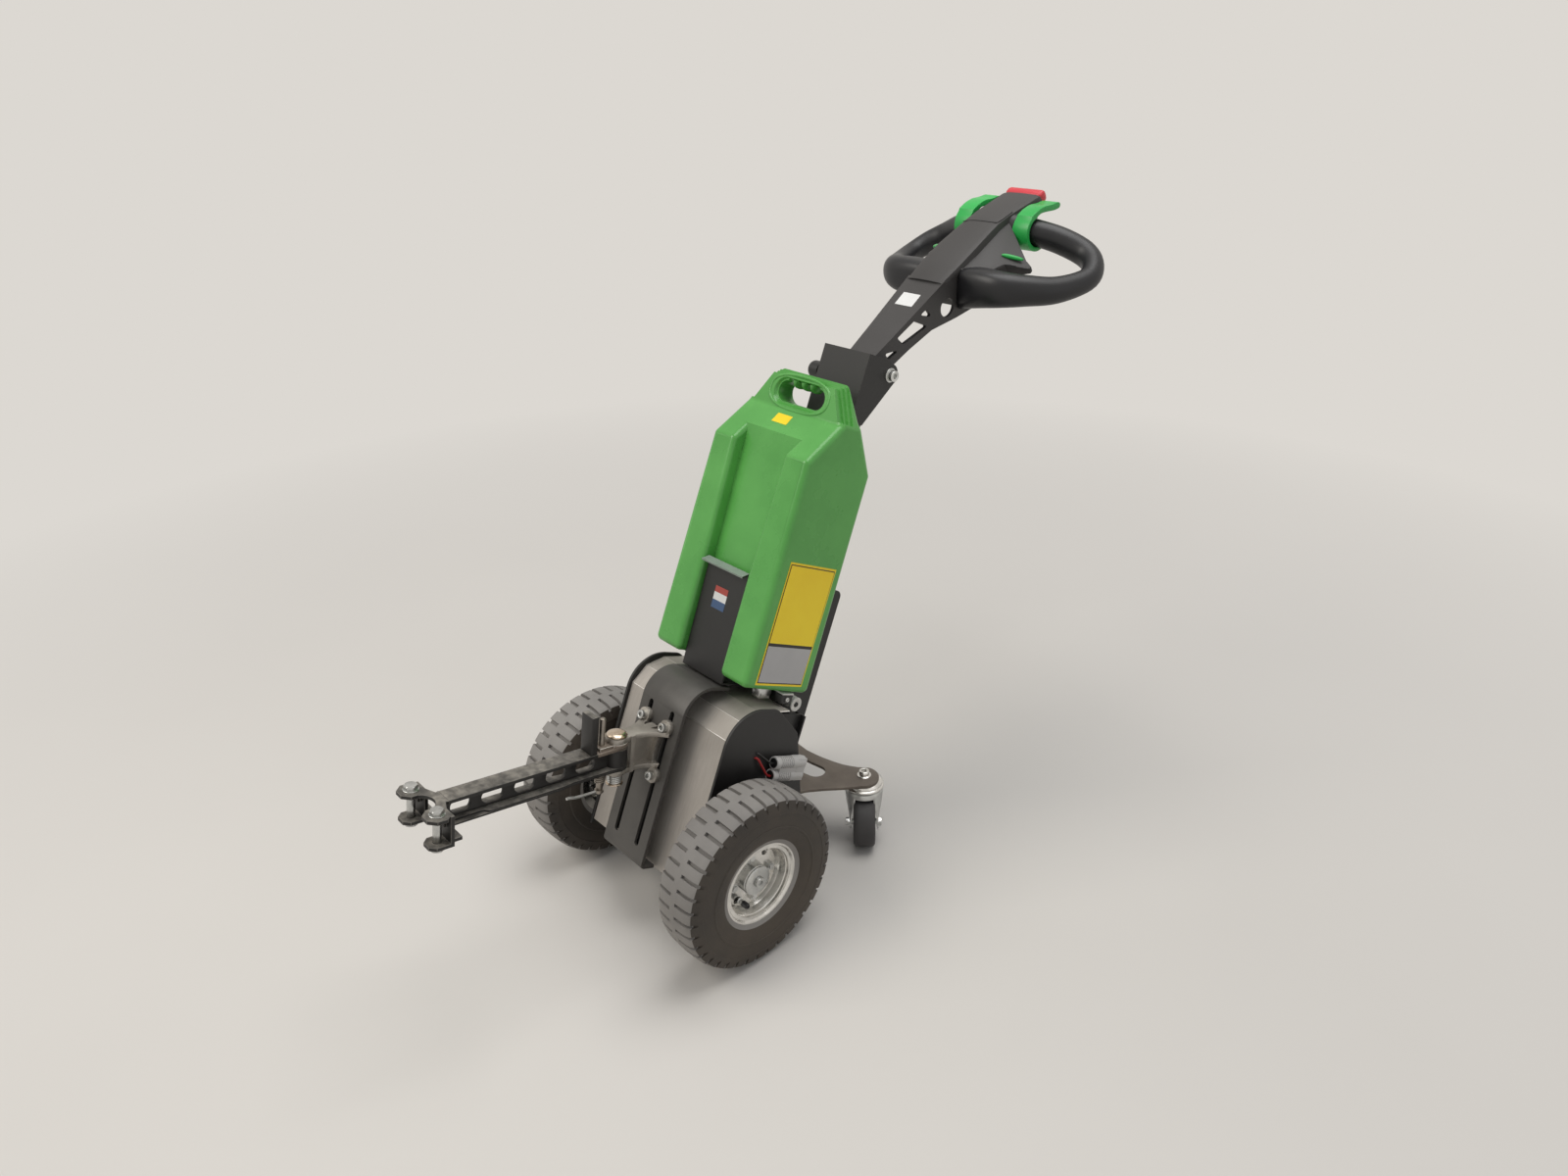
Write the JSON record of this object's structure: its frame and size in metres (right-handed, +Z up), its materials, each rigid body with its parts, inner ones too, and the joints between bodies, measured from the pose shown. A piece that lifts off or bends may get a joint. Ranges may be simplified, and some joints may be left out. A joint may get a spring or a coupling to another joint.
{
  "type": "electric tow tractor",
  "caption": "Walk-behind electric tug: drive wheels, slotted hitch plate with swinging tow arm, lift-out battery, leaning mast, tiller with loop grips and rear castors.",
  "frame": {"origin": "middle of the bounding box's footprint, on the floor", "axes": "+Z up, +Y towards the tiller and the operator, so -Y points at the towed load; +X to the side of the power connector"},
  "size_m": [0.42, 1.1482, 0.9283],
  "materials": {
    "painted_black": "satin black powder coat",
    "stainless": "brushed",
    "mill_scale": "dark mill scale, worn",
    "raw_casting": "as cast",
    "zinc": "zinc plated",
    "tread": "light grey non-marking rubber",
    "castor_tread": "matt",
    "battery_green": "fine grained",
    "grey_plastic": "fine grained",
    "connector_grey": "matt",
    "soft_black": "soft touch",
    "throttle_green": "glossy",
    "red_plastic": "glossy",
    "black_plastic": "matt",
    "white_nylon": "smooth",
    "cable_red": "smooth",
    "cable_black": "smooth",
    "cast_aluminium": "die cast"
  },
  "bodies": {
    "chassis": {"axle_ends": "zinc", "battery": "battery_green", "battery_holder": "painted_black", "casting_bolts": "zinc", "castor_plate": "mill_scale", "castor_studs": "zinc", "clamp_knob": "black_plastic", "controller_box": "painted_black", "cover": "stainless", "drive_unit": "cast_aluminium", "guide_rollers": "white_nylon", "hitch_casting": "raw_casting", "hitch_plate": "mill_scale", "lead_black": "cable_black", "lead_red": "cable_red", "mast": "painted_black", "pivot_pin": "zinc", "power_connector": "connector_grey", "rear_frame": "painted_black", "side_plate_left": "painted_black", "side_plate_right": "painted_black", "terminal_block": "black_plastic", "tiller_bolt": "zinc", "tiller_bracket": "painted_black"},
    "tow_arm": {"arm_beam": "painted_black", "latch_plate": "mill_scale", "lock_pin": "zinc", "arm_fork": "painted_black", "fork_bolts": "zinc"},
    "tiller": {"tiller_arm": "grey_plastic", "tiller_head": "grey_plastic", "grip_left": "soft_black", "grip_right": "soft_black", "throttles": "throttle_green", "safety_button": "red_plastic"},
    "wheel_left": {"tyre_left": "tread", "rim_left": "zinc", "hub_left": "cast_aluminium"},
    "castor_swivel_left": {"castor_fork_left": "zinc"},
    "castor_roller_left": {"castor_wheel_left": "castor_tread"},
    "wheel_right": {"tyre_right": "tread", "rim_right": "zinc", "hub_right": "cast_aluminium"},
    "castor_swivel_right": {"castor_fork_right": "zinc"},
    "castor_roller_right": {"castor_wheel_right": "castor_tread"}
  },
  "joints": [
    {"name": "wheel_spin_left", "type": "hinge", "parent": "chassis", "child": "wheel_left", "pos_m": [0.171, -0.19843, 0.13], "axis": [1, 0, 0], "continuous": true},
    {"name": "castor_turn_left", "type": "hinge", "parent": "chassis", "child": "castor_swivel_left", "pos_m": [0.112, 0.09557, 0.1], "axis": [0, 0, 1], "continuous": true},
    {"name": "castor_roll_left", "type": "hinge", "parent": "castor_swivel_left", "child": "castor_roller_left", "pos_m": [0.12756, 0.08002, 0.04], "axis": [0.7071, 0.7071, 0], "continuous": true},
    {"name": "wheel_spin_right", "type": "hinge", "parent": "chassis", "child": "wheel_right", "pos_m": [-0.171, -0.19843, 0.13], "axis": [1, 0, 0], "continuous": true},
    {"name": "castor_turn_right", "type": "hinge", "parent": "chassis", "child": "castor_swivel_right", "pos_m": [-0.112, 0.09557, 0.1], "axis": [0, 0, 1], "continuous": true},
    {"name": "castor_roll_right", "type": "hinge", "parent": "castor_swivel_right", "child": "castor_roller_right", "pos_m": [-0.09644, 0.08002, 0.04], "axis": [0.7071, 0.7071, 0], "continuous": true},
    {"name": "tow_arm_swing", "type": "hinge", "parent": "chassis", "child": "tow_arm", "pos_m": [0, -0.28042, 0.28099], "axis": [0, 0.1736, 0.9848], "range_deg": [-60, 60]},
    {"name": "tiller_tilt", "type": "hinge", "parent": "chassis", "child": "tiller", "pos_m": [0, 0.21306, 0.71768], "axis": [1, 0, 0], "range_deg": [-25, 30]}
  ]
}
